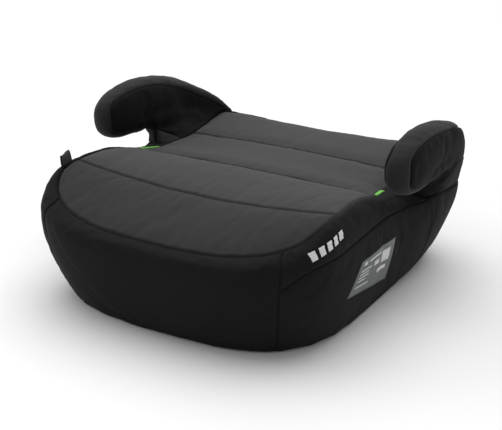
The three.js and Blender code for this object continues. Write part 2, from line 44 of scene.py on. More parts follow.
# ---------------------------------------------------------------- sizes of the seat, in millimetres
FRONT, BACK = -213.0, 212.0
ARM_X, ARM_HALF = 197.0, 21.5
HORN_TIP_Y, CROOK_Y = -26.0, 58.0
CREST_HEIGHT = 201.0
BULGE_Z = 103.0
HEM_Z = 2.5                 # lowest edge of the cover
LIP_SEAM_Y, MIDDLE_SEAM_Y, REAR_SEAM_Y = -103.0, 3.0, 108.0
CLOTH = 2.2                 # thickness of the cover cloth with its wadding
VOXEL = 4.2                 # size of the even mesh that the covers start from
PUFF = 2.0                  # room left for the wadding to swell

RIGHT, LEFT = 1, -1
SIDES = {"right": RIGHT, "left": LEFT}


def curve(points):
    """A smooth curve through (at, value) points, flat beyond its ends; takes numbers or arrays."""
    at = np.array([p[0] for p in points], float)
    value = np.array([p[1] for p in points], float)
    before = np.maximum(np.arange(len(at)) - 1, 0)
    after = np.minimum(np.arange(len(at)) + 1, len(at) - 1)
    slope = (value[after] - value[before]) / (at[after] - at[before])

    def read(x):
        x = np.clip(np.asarray(x, float), at[0], at[-1])
        i = np.clip(np.searchsorted(at, x, side="right") - 1, 0, len(at) - 2)
        h = at[i + 1] - at[i]
        t = (x - at[i]) / h
        return ((2 * t ** 3 - 3 * t ** 2 + 1) * value[i] + (t ** 3 - 2 * t ** 2 + t) * h * slope[i]
                + (3 * t ** 2 - 2 * t ** 3) * value[i + 1] + (t ** 3 - t ** 2) * h * slope[i + 1])

    return read


def lerp(a, b, t):
    return a + (b - a) * t


def ramp(x, lo, hi):
    """0 below lo, 1 above hi, smooth between."""
    t = np.clip((np.asarray(x, float) - lo) / (hi - lo), 0, 1)
    return t * t * (3 - 2 * t)


def window(x, lo, hi, soft):
    """1 between lo and hi, fading to 0 over soft outside them."""
    return ramp(x, lo - soft, lo) * (1 - ramp(x, hi, hi + soft))


# ---------------------------------------------------------------- the cushion's shape
seat_middle = curve([(-200, 109), (-165, 121), (-135, 128), (-103, 132.5), (-50, 135), (0, 132), (50, 128),
                     (108, 126), (160, 125.5), (206, 125)])
seat_rise = curve([(-200, 0), (-165, 5), (-135, 13), (-103, 12.5), (-60, 9), (-20, 2.5), (5, -4), (40, -8),
                   (100, -6), (160, 2), (206, 8)])
RISE_AT = 170.0


def seat_height(x, y):
    return seat_middle(y) + seat_rise(y) * (np.asarray(x, float) / RISE_AT) ** 2


LEVELS = {
    "base": dict(front=-191, nose_from=-33, nose=3.1, back=192, tail_from=60, tail=4.8,
                 half=curve([(-200, 173), (200, 173)])),
    "bulge": dict(front=FRONT, nose_from=-95, nose=3.2, back=BACK, tail_from=95, tail=5,
                  half=curve([(-95, 189), (0, 192), (95, 206)])),
    "top": dict(front=-200, nose_from=-110, nose=2.6, back=206, tail_from=100, tail=8,
                half=curve([(-110, 173), (-60, 171), (-20, 168), (5, 164), (40, 158), (100, 160)])),
}
NOSE_POINTS, SIDE_POINTS = 22, 20
skirt_power = curve([(50, 1.8), (150, 1.4)])
shoulder_power = curve([(0, 1), (35, 0.65), (70, 0.65), (105, 1)])


def outline(level, inset=0.0):
    """Plan outline of a level, anticlockwise from the front middle, as an array of (x, y)."""
    turn = np.linspace(0, math.pi / 2, NOSE_POINTS + 1)
    nose_half = level["half"](level["nose_from"]) - inset
    nose_deep = level["nose_from"] - (level["front"] + inset)
    nose = np.stack([nose_half * np.sin(turn) ** (2 / level["nose"]),
                     level["nose_from"] - nose_deep * np.cos(turn) ** (2 / level["nose"])], 1)
    y = np.linspace(level["nose_from"], level["tail_from"], SIDE_POINTS + 1)[1:]
    side = np.stack([level["half"](y) - inset, y], 1)
    tail_half = level["half"](level["tail_from"]) - inset
    tail_deep = level["back"] - inset - level["tail_from"]
    tail = np.stack([tail_half * np.abs(np.cos(turn)) ** (2 / level["tail"]),
                     level["tail_from"] + tail_deep * np.sin(turn) ** (2 / level["tail"])], 1)[1:]
    right = np.concatenate([nose, side, tail])
    right[0, 0] = right[-1, 0] = 0
    left = right[1:-1][::-1] * (-1, 1)
    return np.concatenate([right, left])


def cushion_rings(inset):
    """Rings of the cushion's skin from the floor up over the shoulder and in to the middle of the top."""
    base, bulge, top = (outline(LEVELS[name], inset) for name in ("base", "bulge", "top"))
    rings = []
    for t in np.linspace(1, 0, 14)[:-1]:
        inwards = t ** skirt_power(bulge[:, 1:])
        rings.append(np.column_stack([lerp(bulge, base, inwards), np.full(len(base), lerp(BULGE_Z, 0, t))]))
    top_z = seat_height(top[:, 0], top[:, 1]) - inset
    for t in np.linspace(1, 0, 11):
        out, down = math.sin(t * math.pi / 2), 1 - math.cos(t * math.pi / 2)
        z = lerp(top_z, BULGE_Z, down ** shoulder_power(top[:, 1]))
        rings.append(np.column_stack([lerp(top, bulge, out), z]))
    for share in np.linspace(1, 0, 22)[1:-1]:
        xy = top * share
        rings.append(np.column_stack([xy, seat_height(xy[:, 0], xy[:, 1]) - inset]))
    return rings


def closed_stack(rings, start, end):
    """Points and faces of a closed skin through rings of equal length, with a point at each end."""
    count = len(rings[0])
    points = np.concatenate([[start], *rings, [end]])
    last = len(points) - 1
    faces = []
    for i in range(count):
        j = (i + 1) % count
        faces.append((0, 1 + j, 1 + i))
        foot = 1 + (len(rings) - 1) * count
        faces.append((last, foot + i, foot + j))
        for ring in range(len(rings) - 1):
            a = 1 + ring * count
            faces.append((a + i, a + j, a + count + j, a + count + i))
    return points, faces


def cushion_shell(inset=0.0):
    return closed_stack(cushion_rings(inset), (0, 0, 0), (0, 0, float(seat_height(0, 0)) - inset))


# ---------------------------------------------------------------- the armrests' shape (right side)
crest_x = curve([(HORN_TIP_Y, ARM_X), (100, ARM_X), (125, 196), (145, 191), (165, 184), (180, 176),
                 (192, 165), (201, 154), (206, 145)])
crest_z = curve([(HORN_TIP_Y, 170), (-21, 182), (-12, 189), (0, 195), (28, CREST_HEIGHT - 0.5),
                 (55, CREST_HEIGHT), (80, 198.5), (107, 193), (127, 187), (146, 178), (163, 169), (180, 158),
                 (193, 146), (206, 127)])
horn_under = curve([(HORN_TIP_Y, 165), (-21, 149), (-12, 140), (5, 135), (30, 133.5), (55, 132.5),
                    (90, 133.5), (112, 141), (130, 152)])
horn_half = curve([(HORN_TIP_Y, 4), (-22, 12), (-14, 17.5), (-2, 20), (15, ARM_HALF), (90, ARM_HALF),
                   (112, 19.5), (130, 15)])
inner_foot_x = curve([(CROOK_Y, 158), (66, 150), (83, 144), (102, 139), (131, 139), (170, 146), (190, 148),
                      (206, 142)])
tuck = curve([(CROOK_Y, 3), (68, 7), (80, 6), (92, 2), (104, 0)])
flank_power = curve([(100, 2.2), (115, 2), (150, 1.4)])
root_middle = curve([(CROOK_Y, 174), (65, 182), (73, 190), (81, 195), (90, ARM_X)])
root_half = curve([(CROOK_Y, 2), (65, 7.5), (73, 14), (81, 18.5), (90, ARM_HALF)])
root_top = curve([(CROOK_Y, 148), (66, 165), (75, 180), (88, 190), (100, 194)])
NECK_END = 100.0
ROOT_BOTTOM = 78.0
SQUARE = 0.7                # how square the armrest's section is; 1 is an ellipse
ROOT_END = 205.0
HORN_END = 130.0


def squarish(angle):
    c, s = np.cos(angle), np.sin(angle)
    return np.sign(c) * np.abs(c) ** SQUARE, np.sign(s) * np.abs(s) ** SQUARE


def horn_shell(inset=0.0):
    turn = np.linspace(0, math.pi / 2, 12)
    stations = np.concatenate([HORN_TIP_Y + inset + 16 * (1 - np.cos(turn)), np.linspace(-6, HORN_END, 44)])
    angle = np.linspace(0, 2 * math.pi, 48, endpoint=False)
    rings = []
    for y in stations:
        top, under = float(crest_z(y)) - inset, float(horn_under(y)) + inset
        across, up = squarish(angle)
        half = max(float(horn_half(y)) - inset, 2)
        rings.append(np.column_stack([crest_x(y) + half * across, np.full(48, y),
                                      (top + under) / 2 + (top - under) / 2 * up]))
    ends = [(float(crest_x(y)), y, float(crest_z(y) + horn_under(y)) / 2)
            for y in (stations[0], stations[-1])]
    return closed_stack(rings, *ends)


def body_half(y):
    """Half width of the cushion at its widest height."""
    level = LEVELS["bulge"]
    if y <= level["tail_from"]:
        return float(level["half"](y))
    t = min((y - level["tail_from"]) / (level["back"] - level["tail_from"]), 0.999)
    return float(level["half"](level["tail_from"])) * (1 - t ** level["tail"]) ** (1 / level["tail"])


def root_section(y, inset):
    """One section of the armrest's root: a cove up from the seat, a rounded crest and the outer flank."""
    neck = y < NECK_END
    foot = float(seat_height(inner_foot_x(y), y)) - 3
    top = float(root_top(y) if neck else crest_z(y)) - inset
    radius = min(20.0, 0.45 * max(top - foot, 2))
    half = float(root_half(y)) if neck else min(ARM_HALF, 7 + 0.4 * (top - foot))
    middle = float(root_middle(y)) if neck else min(float(crest_x(y)), body_half(y) + 16 - half)
    half = max(half - inset, 1)
    inner = min(float(inner_foot_x(y)), middle - half - 0.5)
    outer_foot = min(body_half(y) - 1.5 - inset, middle + half if neck else 1000)
    side = middle - half
    cove = [(inner, foot), (lerp(inner, side, 0.55), foot + 1), (side, lerp(foot, top - radius, 0.3)),
            (side, top - radius)]
    section = []
    for t in np.linspace(0, 1, 15):
        weights = ((1 - t) ** 3, 3 * t * (1 - t) ** 2, 3 * t * t * (1 - t), t ** 3)
        section.append([sum(w * p[k] for w, p in zip(weights, cove)) for k in (0, 1)])
    for angle in np.linspace(math.pi, 0, 19)[1:]:
        across, up = squarish(angle)
        section.append([middle + half * across, top - radius + radius * up])
    for t in np.linspace(0, 1, 15)[1:]:
        in_by = float(tuck(y)) * math.sin(t * t * math.pi)
        section.append([lerp(middle + half, outer_foot, t ** float(flank_power(y))) - in_by,
                        lerp(top - radius, BULGE_Z, t)])
    section.append([max(outer_foot - 8, inner + 2), ROOT_BOTTOM + 8])
    section.append([max(outer_foot - 20, inner + 1), ROOT_BOTTOM])
    section.append([inner, ROOT_BOTTOM])
    return np.array(section)


def root_shell(inset=0.0):
    rings = []
    for y in np.concatenate([np.linspace(CROOK_Y + inset, NECK_END, 18), np.linspace(104, ROOT_END, 44)]):
        section = root_section(y, inset)
        rings.append(np.column_stack([section[:, 0], np.full(len(section), y), section[:, 1]]))
    return closed_stack(rings, rings[0].mean(0), rings[-1].mean(0))


# ---------------------------------------------------------------- mesh helpers
def new_object(name, points, faces):
    """A mesh object from millimetre points."""
    mesh = bpy.data.meshes.new(name)
    mesh.from_pydata((np.asarray(points) * MM).tolist(), [], [tuple(int(i) for i in f) for f in faces])
    mesh.update()
    thing = bpy.data.objects.new(name, mesh)
    bpy.context.scene.collection.objects.link(thing)
    return thing


def joined(shells):
    points, faces, base = [], [], 0
    for shell_points, shell_faces in shells:
        points.append(np.asarray(shell_points, float))
        faces += [tuple(base + i for i in face) for face in shell_faces]
        base += len(shell_points)
    return np.concatenate(points), faces


def mirrored(shell):
    points, faces = shell
    return np.asarray(points) * (-1, 1, 1), [tuple(reversed(face)) for face in faces]


def outward(shell):
    """The same shell with its faces turned so that its volume is positive."""
    points, faces = np.asarray(shell[0], float), shell[1]
    volume = 0.0
    for face in faces:
        for i in range(1, len(face) - 1):
            volume += np.dot(points[face[0]], np.cross(points[face[i]], points[face[i + 1]]))
    return (points, faces) if volume > 0 else (points, [tuple(reversed(face)) for face in faces])


def settled(thing):
    """Replaces the object's mesh with what its modifiers make, and removes them."""
    made = bpy.data.meshes.new_from_object(thing.evaluated_get(bpy.context.evaluated_depsgraph_get()))
    thing.modifiers.clear()
    thing.data = made
    return thing


def points_of(mesh):
    flat = np.empty(len(mesh.vertices) * 3)
    mesh.vertices.foreach_get("co", flat)
    return flat.reshape(-1, 3) / MM


def put_points(mesh, points):
    mesh.vertices.foreach_set("co", (points * MM).ravel())
    mesh.update()


def normals_of(mesh):
    flat = np.empty(len(mesh.vertices) * 3)
    mesh.vertex_normals.foreach_get("vector", flat)
    return flat.reshape(-1, 3)


def smoothed(mesh, rounds, keep=None):
    """Evens out the mesh without shrinking it: each round steps in, then back out."""
    edges = np.empty(len(mesh.edges) * 2, int)
    mesh.edges.foreach_get("vertices", edges)
    a, b = edges.reshape(-1, 2).T
    points = points_of(mesh)
    count = len(points)
    valence = np.bincount(a, minlength=count) + np.bincount(b, minlength=count)
    for _ in range(rounds):
        for step in (0.5, -0.52):
            total = np.empty_like(points)
            for k in range(3):
                total[:, k] = (np.bincount(a, points[b, k], minlength=count)
                               + np.bincount(b, points[a, k], minlength=count))
            shift = step * (total / valence[:, None] - points)
            points = points + (shift if keep is None else shift * (1 - keep)[:, None])
    put_points(mesh, points)


def tree_of(shells):
    points, faces = joined(shells)
    return BVHTree.FromPolygons([Vector(p) for p in points.tolist()], faces)


def distance_to(tree, points):
    """How far each point is from the surface."""
    return np.array([tree.find_nearest(p)[3] for p in points.tolist()])


# ---------------------------------------------------------------- where the seams run
side_seam_z = curve([(-190, 84), (-186, 88), (-177, 99.5), (-158, 107), (-127, 109.5), (-84, 111.7),
                     (-37, 113.6), (-10, 114), (23, 110.5), (45, 109), (65, 107), (75, 108.5), (90, 113),
                     (212, 114)])
SEAM_INSET = 3.0            # the seam along the top edge lies this far inside the edge itself
TOP_LINE = outline(LEVELS["top"], SEAM_INSET)


def plan_distance(points, line, closed):
    """Signed plan distance to a line of (x, y) points: positive to the right of its direction."""
    if closed:
        line = np.concatenate([line, line[:1]])
    best = np.full(len(points), 1e9)
    signed = np.zeros(len(points))
    for a, b in zip(line[:-1], line[1:]):
        along = b - a
        length = np.hypot(*along)
        if length < 1e-6:
            continue
        along = along / length
        rel = points[:, :2] - a
        t = np.clip(rel @ along, 0, length)
        gap = rel - t[:, None] * along
        distance = np.hypot(gap[:, 0], gap[:, 1])
        cross = along[1] * rel[:, 0] - along[0] * rel[:, 1]
        closer = distance < best - 1e-9
        signed[closer] = np.where(cross >= 0, distance, -distance)[closer]
        best[closer] = distance[closer]
    return signed


def top_edge(points):
    """Below 0 inside the seat's top edge, above 0 outside it."""
    return plan_distance(points, TOP_LINE, True)


CREST_Y = np.concatenate([[-80], np.linspace(HORN_TIP_Y, 206, 60), [210]])
CREST_LINE = np.column_stack([crest_x(CREST_Y), CREST_Y])
CREST_LINE[-1, 0] -= 16


def beside_crest(points):
    """Plan distance from the armrest's crest: below 0 towards the seat. Works for either armrest."""
    folded = points.copy()
    folded[:, 0] = np.abs(folded[:, 0])
    return plan_distance(folded, CREST_LINE, False)


# How far either side of the crest the armrest's edge seams run, along its length.
INNER_SEAM_OUT = 7.0
inner_seam_drop = curve([(-20, 3), (0, 5), (30, 7), (60, 8.5), (82, 10), (99, 12), (118, 14.5), (155, 16),
                         (175, 16), (206, 13)])
outer_seam_out = curve([(-30, 13), (20, 15), (90, 16), (130, 14), (160, 11), (206, 7)])

# Height of each armrest face's lower seam, and how far forward the face reaches.
inner_low_z = curve([(-30, 152), (-16, 147), (5, 142), (35, 141), (50, 140), (62, 135), (74, 129), (84, 123),
                     (100, 112), (210, 110)])
outer_low_z = curve([(-30, 150), (-16, 145), (5, 140.5), (35, 139), (50, 137), (58, 126), (66, 108), (72, 96),
                     (210, 95)])
FACE_FRONT_Y = -18.5
SOFT_CORNER = 9.0


def soft_max(a, b, radius):
    """The larger of two fields, with its corner rounded."""
    overlap = np.maximum(radius - np.abs(a - b), 0) / radius
    return np.maximum(a, b) + overlap ** 2 * radius / 4


def inner_face_edge(points):
    high = points[:, 2] - crest_z(points[:, 1]) + inner_seam_drop(points[:, 1])
    beside = np.maximum(beside_crest(points) + INNER_SEAM_OUT, high)
    low = (inner_low_z(points[:, 1]) - points[:, 2]) * 0.9
    return soft_max(soft_max(beside, low, SOFT_CORNER), FACE_FRONT_Y - points[:, 1], SOFT_CORNER)


# Behind the belt gap the outer cloth also wraps the root's flank: how high it reaches, and how far in past
# the crest.
flank_top_z = curve([(60, 135), (92, 150), (127, 155), (180, 134), (206, 112)])
flank_inwards = curve([(60, 24), (90, 20), (115, 4), (130, 0)])
FLANK_FRONT_Y = 57.0


def outer_face_edge(points):
    y, z = points[:, 1], points[:, 2]
    crest = beside_crest(points)
    low = (outer_low_z(y) - z) * 0.9
    face = soft_max(soft_max(outer_seam_out(y) - crest, low, SOFT_CORNER), FACE_FRONT_Y - y, SOFT_CORNER)
    flank = np.maximum(np.maximum(z - flank_top_z(y), -crest - flank_inwards(y)), FLANK_FRONT_Y - y)
    return np.minimum(face, flank)


# Where the upright corner seams run: they lean in towards the hem and turn in to meet the top edge.
corner_x = curve([(0, 131), (7, 133.6), (25, 139.2), (46, 143.8), (65, 146.8), (82, 149), (99, 151),
                  (106, 151), (113, 149.5), (119, 144.5)])

CUSHION_TREE = tree_of([cushion_shell(PUFF * 0.5)])
ARM_TREES = [tree_of([horn_shell(PUFF * 0.5)]), tree_of([root_shell(PUFF * 0.5)])]

# The lowest place that the armrest's cover reaches on the flank, and how far from the root the cloth still
# counts as armrest.
arm_foot_z = curve([(60, 110), (87, 109), (118, 105), (144, 101.5), (206, 101)])
FLANK_REACH = 5.0


def arm_or_cushion(points):
    """Below 0 on the armrests, above 0 on the cushion, 0 along the line where they meet."""
    folded = points.copy()
    folded[:, 0] = np.abs(folded[:, 0])
    x, y, z = folded.T
    arm = np.minimum(*(distance_to(tree, folded) for tree in ARM_TREES))
    flank = ramp(beside_crest(points), 0, 12) * ramp(y, 100, 125)
    field = arm - distance_to(CUSHION_TREE, points) - FLANK_REACH * flank
    behind = corner_x(z) - x - 20 * ramp(z, 110, 118) - 50 * (1 - ramp(y, 140, 150))
    return np.maximum(np.maximum(field, arm_foot_z(y) - z), behind)


# ---------------------------------------------------------------- one even skin over cushion and armrests
def whole_skin():
    arm = [outward(horn_shell(PUFF * 0.5)), outward(root_shell(PUFF * 0.5))]
    shells = [outward(cushion_shell(PUFF * 0.5)), *arm, *(outward(mirrored(shell)) for shell in arm)]
    skin = new_object("skin", *joined(shells))
    remesh = skin.modifiers.new("even", "REMESH")
    remesh.mode = "VOXEL"
    remesh.voxel_size = VOXEL * MM
    settled(skin)
    smoothed(skin.data, 8)
    return skin


def cut_along(bm, field, where=None):
    """Cuts the faces of bm exactly along the field's zero line."""
    bm.verts.ensure_lookup_table()
    bm.verts.index_update()
    points = np.array([v.co for v in bm.verts]) / MM
    chosen = np.ones(len(points), bool) if where is None else where(points)
    value = np.full(len(points), np.nan)
    value[chosen] = field(points[chosen])
    near = {}
    for edge in bm.edges:
        a, b = edge.verts[0].index, edge.verts[1].index
        if value[a] * value[b] < 0:
            t = value[a] / (value[a] - value[b])
            end = a if t < 0.3 else b if t > 0.7 else None
            if end is not None:
                reach = min(t, 1 - t)
                if end not in near or reach < near[end][0]:
                    near[end] = (reach, edge.verts[0].co.lerp(edge.verts[1].co, t))
    for index, (_, place) in near.items():
        bm.verts[index].co = place
        value[index] = 0
    crossing = []
    for edge in bm.edges:
        a, b = edge.verts[0].index, edge.verts[1].index
        if value[a] * value[b] < 0:
            crossing.append((edge, edge.verts[0], value[a] / (value[a] - value[b])))
    on_line = [v for v in bm.verts if value[v.index] == 0]
    for edge, start, t in crossing:
        _, made = bmesh.utils.edge_split(edge, start, t)
        on_line.append(made)
    bmesh.ops.connect_verts(bm, verts=on_line, check_degenerate=False)


# ---------------------------------------------------------------- panels of the cover
def panel_names(points):
    """The panel that each point of the skin belongs to."""
    names = np.full(len(points), "", object)
    x, y, z = points.T
    side = np.where(x > 0, "right", "left")
    arm = arm_or_cushion(points) < 0
    inner = inner_face_edge(points) < 0
    outer = outer_face_edge(points) < 0
    for name, chosen in (("gusset", ~inner & ~outer), ("inner", inner), ("outer", outer & ~inner)):
        for word in SIDES:
            names[arm & chosen & (side == word)] = "armrest_%s_%s" % (name, word)
    top = ~arm & (top_edge(points) < 0) & (z > 60)
    names[top & (y < LIP_SEAM_Y)] = "front_lip"
    names[top & (y >= LIP_SEAM_Y) & (y < MIDDLE_SEAM_Y)] = "front_band"
    names[top & (y >= MIDDLE_SEAM_Y) & (y < REAR_SEAM_Y)] = "middle_band"
    names[top & (y >= REAR_SEAM_Y)] = "rear_band"
    around = ~arm & ~top
    between = np.abs(x) < corner_x(z)
    names[around & between & (y < 0)] = "front_boxing"
    names[around & between & (y >= 0)] = "rear_boxing"
    high = z > side_seam_z(y)
    for word in SIDES:
        flank = around & ~between & (side == word)
        names[flank & high] = "side_upper_" + word
        names[flank & ~high] = "side_lower_" + word
    return names


TOP_PANELS = ("front_lip", "front_band", "middle_band", "rear_band")
REPLACED = {
    "front_lip": ["cover_front_lip"],
    "front_band": ["cover_front_band", "core_block"],
    "middle_band": ["cover_middle_band", "seat_foam"],
    "rear_band": ["cover_rear_band"],
    "front_boxing": ["cover_front_boxing"],
    "rear_boxing": ["cover_rear_boxing"],
}
for _side in SIDES:
    REPLACED["side_upper_" + _side] = ["cover_side_upper_" + _side]
    REPLACED["side_lower_" + _side] = ["cover_side_lower_" + _side]
    REPLACED["armrest_inner_" + _side] = ["armrest_cover_inner_" + _side]
    REPLACED["armrest_gusset_" + _side] = ["armrest_cover_gusset_" + _side, "armrest_foam_" + _side]
    REPLACED["armrest_outer_" + _side] = ["armrest_cover_outer_" + _side]


CUT_REACH = 8.0             # a seam only cuts the skin this near its own line
TOP_EDGE_FROM_Z, BAND_FROM_Z, ARM_FROM_Z = 95, 110, 100
CORNER_TO_Z, CORNER_FROM_Y = 140, 150
BAND_TO_X, SIDE_FROM_X, ARM_FROM_X = 180, 125, 60
ARM_FROM_Y = -50


def cut_seams(bm):
    """Cuts the skin along every seam, so that each panel has a clean edge."""
    def near(value):
        return np.abs(value) < CUT_REACH

    def corner(p):
        return np.abs(p[:, 0]) - corner_x(p[:, 2])

    def side(p):
        return p[:, 2] - side_seam_z(p[:, 1])

    cut_along(bm, arm_or_cushion, lambda p: p[:, 2] > ROOT_BOTTOM + 10)
    cut_along(bm, top_edge, lambda p: (p[:, 2] > TOP_EDGE_FROM_Z) & near(top_edge(p)))
    for seam_y in (LIP_SEAM_Y, MIDDLE_SEAM_Y, REAR_SEAM_Y):
        cut_along(bm, lambda p: p[:, 1] - seam_y,
                  lambda p: (p[:, 2] > BAND_FROM_Z) & near(p[:, 1] - seam_y) & (np.abs(p[:, 0]) < BAND_TO_X))
    cut_along(bm, corner,
              lambda p: near(corner(p)) & (p[:, 2] < CORNER_TO_Z) & (np.abs(p[:, 1]) > CORNER_FROM_Y))
    cut_along(bm, side, lambda p: near(side(p)) & (np.abs(p[:, 0]) > SIDE_FROM_X))
    for edge in (inner_face_edge, outer_face_edge):
        cut_along(bm, edge, lambda p: (p[:, 2] > ARM_FROM_Z) & (p[:, 1] > ARM_FROM_Y)
                  & (np.abs(p[:, 0]) > ARM_FROM_X) & near(edge(p)))


def face_panels(bm):
    bm.faces.ensure_lookup_table()
    return panel_names(np.array([f.calc_center_median() for f in bm.faces]) / MM)


def refine_near_seams(bm, names):
    """Halves the mesh within FINE_REACH of every seam, so that the stitched grooves come out smooth."""
    tree, _ = seam_tree(bm, names)
    gap = np.array([tree.find(v.co / MM)[2] for v in bm.verts])
    edges = [e for e in bm.edges if min(gap[e.verts[0].index], gap[e.verts[1].index]) < FINE_REACH]
    bmesh.ops.subdivide_edges(bm, edges=edges, cuts=1, use_grid_fill=True, smooth=0.0)
    bm.normal_update()
    bm.verts.index_update()
    bm.faces.index_update()


# ---------------------------------------------------------------- seams, swelling and folds
TOP_SEAM_DEPTH, ARM_SEAM_DEPTH, SIDE_SEAM_DEPTH = 3.5, 1.7, 1.6
TOP_SEAM_WIDTH, SIDE_SEAM_WIDTH = 1.7, 1.3
FINE_REACH = 5.0
FOLD_STEP = 9.5
CROWN, CROWN_WIDTH = 1.9, 12.0


def noise_at(points, size, seed=0.0):
    shift = Vector((seed * 7.3, seed * 3.1, seed * 5.7))
    return np.array([noise.noise(Vector(p) / size + shift) for p in points.tolist()])


def seam_depth(a, b):
    """How deep the seam between two panels is drawn in."""
    if "armrest" in a and "armrest" in b:
        return ARM_SEAM_DEPTH
    if "armrest" in a + b or a in TOP_PANELS or b in TOP_PANELS:
        return TOP_SEAM_DEPTH
    return SIDE_SEAM_DEPTH


def seam_tree(bm, names):
    """The points that lie on a seam between two panels, and how deep the seam is at each."""
    spots, depths = [], []
    for edge in bm.edges:
        faces = edge.link_faces
        if len(faces) == 2 and names[faces[0].index] != names[faces[1].index]:
            spots.append(edge.verts[0].co / MM)
            spots.append((edge.verts[0].co + edge.verts[1].co) / (2 * MM))
            depths += [seam_depth(names[faces[0].index], names[faces[1].index])] * 2
    tree = KDTree(len(spots))
    for i, spot in enumerate(spots):
        tree.insert(spot, i)
    tree.balance()
    return tree, np.array(depths)


def folds(points, gap):
    """How far each point of the cloth is raised by folds and puckers, in millimetres."""
    x, y, z = points.T
    ax = np.abs(x)
    raised = np.zeros(len(points))
    broad = noise_at(points, 60)
    # drag lines down the side panels
    side = window(z, 12, 95, 12) * window(ax, 150, 300, 8)
    lines = np.sin((y + 10 * np.sin(z / 40) + 14 * broad) / 9.0)
    raised += 0.45 * side * lines * (0.5 + 0.8 * np.maximum(broad, 0))
    # puckers along the seams across the seat
    top = window(z, 112, 170, 4) * (1 - ramp(ax, 150, 165)) * window(y, -190, 200, 5)
    pucker = noise_at(points * (1, 0.25, 1), 9, 1)
    raised += 0.55 * top * pucker * np.exp(-gap / 9)
    raised += 0.5 * top * noise_at(points, 34, 2)
    # curved folds over the back of the armrests
    arm = window(y, 112, 190, 16) * window(z, 112, 186, 10) * ramp(ax, 150, 185)
    arm = arm * ramp(beside_crest(points), 8, 18)
    bend = (y - 0.35 * (z - 150) + 0.004 * (z - 150) ** 2) / FOLD_STEP
    raised += 1.1 * arm * (np.abs(np.sin(bend * math.pi + 0.8 * broad)) ** 0.8 - 0.55) * (0.6 + 0.9 * broad)
    # ripples across the crest strip
    crest = window(y, -24, 120, 8) * ramp(z, 150, 175) * ramp(ax, 165, 175)
    raised += 0.5 * crest * noise_at(points * (0.25, 1, 0.6), 7, 3) * np.exp(-np.abs(gap - 6) / 9)
    # folds in the crook behind the belt gap
    crook = window(y, 40, 88, 10) * window(z, 118, 158, 8) * ramp(ax, 140, 152)
    raised += 1.1 * crook * np.sin((z + 0.7 * (ax - 150) + 5 * broad) / 4.2)
    return raised


def sew(mesh, tree, depths):
    """Sinks the seams, swells the cloth between them and lays in the folds."""
    points, normals = points_of(mesh), normals_of(mesh)
    found = [tree.find(p) for p in points.tolist()]
    gap = np.array([hit[2] for hit in found])
    depth = depths[[hit[1] for hit in found]]
    wide = lerp(SIDE_SEAM_WIDTH, TOP_SEAM_WIDTH, ramp(depth, SIDE_SEAM_DEPTH, TOP_SEAM_DEPTH))
    shift = -depth * np.exp(-(gap / wide) ** 2)
    shift += CROWN * depth / TOP_SEAM_DEPTH * (1 - np.exp(-(gap / CROWN_WIDTH) ** 1.5)) - 0.4
    shift += folds(points, gap) * (1 - np.exp(-(gap / 3) ** 2))
    foot = 1 - ramp(points[:, 2], HEM_Z, 16)
    shift = lerp(shift, 0.25 * shift, foot)
    put_points(mesh, points + normals * shift[:, None])


def hem_wave(mesh):
    points = points_of(mesh)
    turn = np.arctan2(points[:, 1], points[:, 0])
    low = 1 - ramp(points[:, 2], HEM_Z, 10)
    wave = 0.8 * np.sin(turn * 9 + 1) + 0.5 * np.sin(turn * 23)
    points[:, 2] += low * np.maximum(wave + 0.4, -0.6)
    put_points(mesh, points)


# ---------------------------------------------------------------- materials
def material(name):
    made = bpy.data.materials.new(name)
    made.use_nodes = True
    tree = made.node_tree
    tree.nodes.clear()
    out = tree.nodes.new("ShaderNodeOutputMaterial")
    shader = tree.nodes.new("ShaderNodeBsdfPrincipled")
    tree.links.new(shader.outputs["BSDF"], out.inputs["Surface"])
    return made, tree, shader


def node(tree, kind, inputs=None, **settings):
    made = tree.nodes.new("ShaderNode" + kind)
    for key, value in settings.items():
        setattr(made, key, value)
    for key, value in (inputs or {}).items():
        if hasattr(value, "links"):
            tree.links.new(value, made.inputs[key])
        else:
            made.inputs[key].default_value = value
    return made


def maths(tree, operation, a, b=0.0):
    made = node(tree, "Math", operation=operation)
    for socket, value in zip(made.inputs, (a, b)):
        if hasattr(value, "links"):
            tree.links.new(value, socket)
        else:
            socket.default_value = value
    return made.outputs[0]


def shade(value):
    """A display grey or colour from 0-255 numbers, as linear light."""
    linear = [((c / 255 + 0.055) / 1.055) ** 2.4 if c > 10 else c / 255 / 12.92 for c in value]
    return (*linear, 1)


